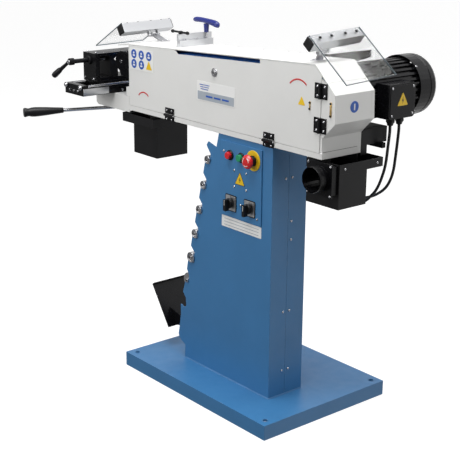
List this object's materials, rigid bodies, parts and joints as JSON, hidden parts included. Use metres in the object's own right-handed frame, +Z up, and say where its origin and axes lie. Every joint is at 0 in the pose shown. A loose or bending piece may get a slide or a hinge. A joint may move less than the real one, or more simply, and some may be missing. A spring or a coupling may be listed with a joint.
{
  "type": "pedestal belt grinder for tube notching",
  "caption": "Pedestal belt grinder with a sloping housing, tube-notching vise on the left, rear motor, dust bins and clear spark shields.",
  "frame": {"origin": "underside of the foot plate, below the middle of the whole machine's box", "axes": "+X along the belt towards the drive wheel, +Y away from the operator, +Z up"},
  "size_m": [1.17, 0.6776, 1.1053],
  "materials": {
    "column_blue": "satin",
    "housing_grey": "satin",
    "black_paint": "satin",
    "dark_steel": "satin",
    "bright_steel": "satin",
    "aluminium": "satin",
    "abrasive_blue": "matte",
    "red_plastic": "gloss",
    "green_plastic": "gloss",
    "black_plastic": "matte",
    "key_blue": "satin",
    "clear_pane": "clear"
  },
  "bodies": {
    "frame": {"base_plate": "column_blue", "column_shell": "column_blue", "column_rear_cover": "column_blue", "control_panel": "column_blue", "stored_roller_1": "bright_steel", "stored_roller_2": "bright_steel", "stored_roller_3": "bright_steel", "stored_roller_4": "bright_steel", "stored_roller_5": "bright_steel", "stored_roller_6": "bright_steel", "tool_tray": "black_paint", "tray_bracket": "column_blue", "head_frame": "housing_grey", "platen": "bright_steel", "abrasive_belt": "abrasive_blue", "motor_bracket": "dark_steel", "motor_body": "black_paint", "fan_cowl": "black_paint", "terminal_box": "black_paint", "motor_glands": "black_plastic", "column_glands": "black_plastic", "motor_cable_1": "black_plastic", "motor_cable_2": "black_plastic", "door_hinge_left": "black_paint", "door_hinge_right": "black_paint", "shield_arm_left": "bright_steel", "shield_arm_right": "bright_steel", "tension_spring": "bright_steel", "stop_bracket": "aluminium"},
    "stop_button": {"stop_button": "red_plastic"},
    "start_button": {"start_button": "green_plastic"},
    "estop": {"estop_button": "red_plastic"},
    "knob_left": {"switch_knob_left": "black_plastic"},
    "knob_right": {"switch_knob_right": "black_plastic"},
    "front_door": {"front_door": "housing_grey", "end_hinge_upper": "black_paint", "end_hinge_lower": "black_paint"},
    "lock": {"door_lock": "bright_steel"},
    "end_door": {"end_door": "housing_grey"},
    "lid": {"top_lid": "housing_grey"},
    "wing_lever": {"wing_lever": "black_plastic"},
    "hex_key": {"hex_key": "key_blue"},
    "left_shield": {"shield_bar_left": "aluminium", "shield_pane_left": "clear_pane"},
    "right_shield": {"shield_bar_right": "aluminium", "shield_pane_right": "clear_pane"},
    "wheel": {"drive_wheel": "aluminium", "motor_rotor": "dark_steel"},
    "fork": {"roller_fork": "black_paint"},
    "roller": {"notching_roller": "bright_steel"},
    "feed_slide": {"slide_base": "black_paint", "guide_bar_left": "bright_steel", "guide_bar_right": "bright_steel"},
    "vise": {"vise_body": "black_paint"},
    "jaw": {"vise_jaw": "dark_steel"},
    "clamp": {"clamp_screw": "black_paint"},
    "feed_lever": {"feed_lever": "black_plastic"},
    "left_hopper": {"left_hopper": "dark_steel"},
    "right_hopper": {"right_hopper": "dark_steel", "exhaust_port": "black_paint"}
  },
  "joints": [
    {"name": "stop_press", "type": "slide", "parent": "frame", "child": "stop_button", "axis": [0, 1, 0], "range_m": [0, 0.004], "stiffness_N_per_m": 400, "springref_m": -0.002},
    {"name": "start_press", "type": "slide", "parent": "frame", "child": "start_button", "axis": [0, 1, 0], "range_m": [0, 0.004], "stiffness_N_per_m": 400, "springref_m": -0.002},
    {"name": "estop_press", "type": "slide", "parent": "frame", "child": "estop", "axis": [0, 1, 0], "range_m": [0, 0.004]},
    {"name": "left_switch_turn", "type": "hinge", "parent": "frame", "child": "knob_left", "pos_m": [0.1516, -0.0885, 0.593], "axis": [0, 1, 0], "range_deg": [0, 60]},
    {"name": "right_switch_turn", "type": "hinge", "parent": "frame", "child": "knob_right", "pos_m": [0.2326, -0.0885, 0.594], "axis": [0, 1, 0], "range_deg": [-60, 60]},
    {"name": "front_door_swing", "type": "hinge", "parent": "frame", "child": "front_door", "pos_m": [0.1111, -0.093, 0.8], "axis": [1, 0, 0], "range_deg": [0, 95]},
    {"name": "lock_turn", "type": "hinge", "parent": "front_door", "child": "lock", "pos_m": [0.0741, -0.0882, 0.954], "axis": [0, 1, 0], "range_deg": [0, 90]},
    {"name": "end_door_swing", "type": "hinge", "parent": "front_door", "child": "end_door", "pos_m": [0.5016, -0.093, 0.9], "axis": [0, 0, 1], "range_deg": [-100, 0]},
    {"name": "lid_swing", "type": "hinge", "parent": "frame", "child": "lid", "pos_m": [-0.1101, 0.0576, 0.99807], "axis": [0.999, 0, 0.045], "range_deg": [-70, 0]},
    {"name": "wing_turn", "type": "hinge", "parent": "frame", "child": "wing_lever", "pos_m": [-0.1477, -0.0372, 1.03533], "axis": [0, 0, 1], "range_deg": [-60, 60]},
    {"name": "key_lift", "type": "slide", "parent": "frame", "child": "hex_key", "axis": [0, 0, 1], "range_m": [0, 0.05]},
    {"name": "left_shield_tilt", "type": "hinge", "parent": "frame", "child": "left_shield", "pos_m": [-0.3709, 0.0268, 1.006], "axis": [0, 0.9998, 0.0175], "range_deg": [0, 60]},
    {"name": "right_shield_tilt", "type": "hinge", "parent": "frame", "child": "right_shield", "pos_m": [0.4461, -0.0332, 1.0485], "axis": [0, 0.9986, 0.0523], "range_deg": [-60, 10]},
    {"name": "wheel_spin", "type": "hinge", "parent": "frame", "child": "wheel", "pos_m": [0.4371, -0.0272, 0.93], "axis": [0, 1, 0], "continuous": true},
    {"name": "belt_tension", "type": "slide", "parent": "frame", "child": "fork", "axis": [1, 0, 0], "range_m": [0, 0.012], "deforming": ["tension_spring"]},
    {"name": "roller_spin", "type": "hinge", "parent": "fork", "child": "roller", "pos_m": [-0.3939, -0.0272, 0.93], "axis": [0, 1, 0], "continuous": true},
    {"name": "feed_travel", "type": "slide", "parent": "frame", "child": "feed_slide", "axis": [1, 0, 0], "range_m": [-0.035, 0.011]},
    {"name": "vise_cross_travel", "type": "slide", "parent": "feed_slide", "child": "vise", "axis": [0, 1, 0], "range_m": [-0.04, 0.03]},
    {"name": "jaw_travel", "type": "slide", "parent": "vise", "child": "jaw", "axis": [0, 1, 0], "range_m": [-0.02, 0.015]},
    {"name": "clamp_turn", "type": "hinge", "parent": "jaw", "child": "clamp", "pos_m": [-0.4769, -0.0892, 0.93], "axis": [0, 1, 0], "range_deg": [-1440, 1080]},
    {"name": "feed_lever_swing", "type": "hinge", "parent": "frame", "child": "feed_lever", "pos_m": [-0.4669, -0.0192, 0.77], "axis": [0, 0, 1], "range_deg": [-39, 13]},
    {"name": "left_hopper_pull", "type": "slide", "parent": "frame", "child": "left_hopper", "axis": [0, -1, 0], "range_m": [0, 0.1]},
    {"name": "right_hopper_pull", "type": "slide", "parent": "frame", "child": "right_hopper", "axis": [1, 0, 0], "range_m": [0, 0.1]}
  ],
  "couplings": [
    {"joint": "roller_spin", "follows": "wheel_spin", "ratio": 3.5602},
    {"joint": "feed_lever_swing", "follows": "feed_travel", "rad_per_m": 19.05},
    {"joint": "jaw_travel", "follows": "clamp_turn", "m_per_rad": 0.0007958}
  ]
}
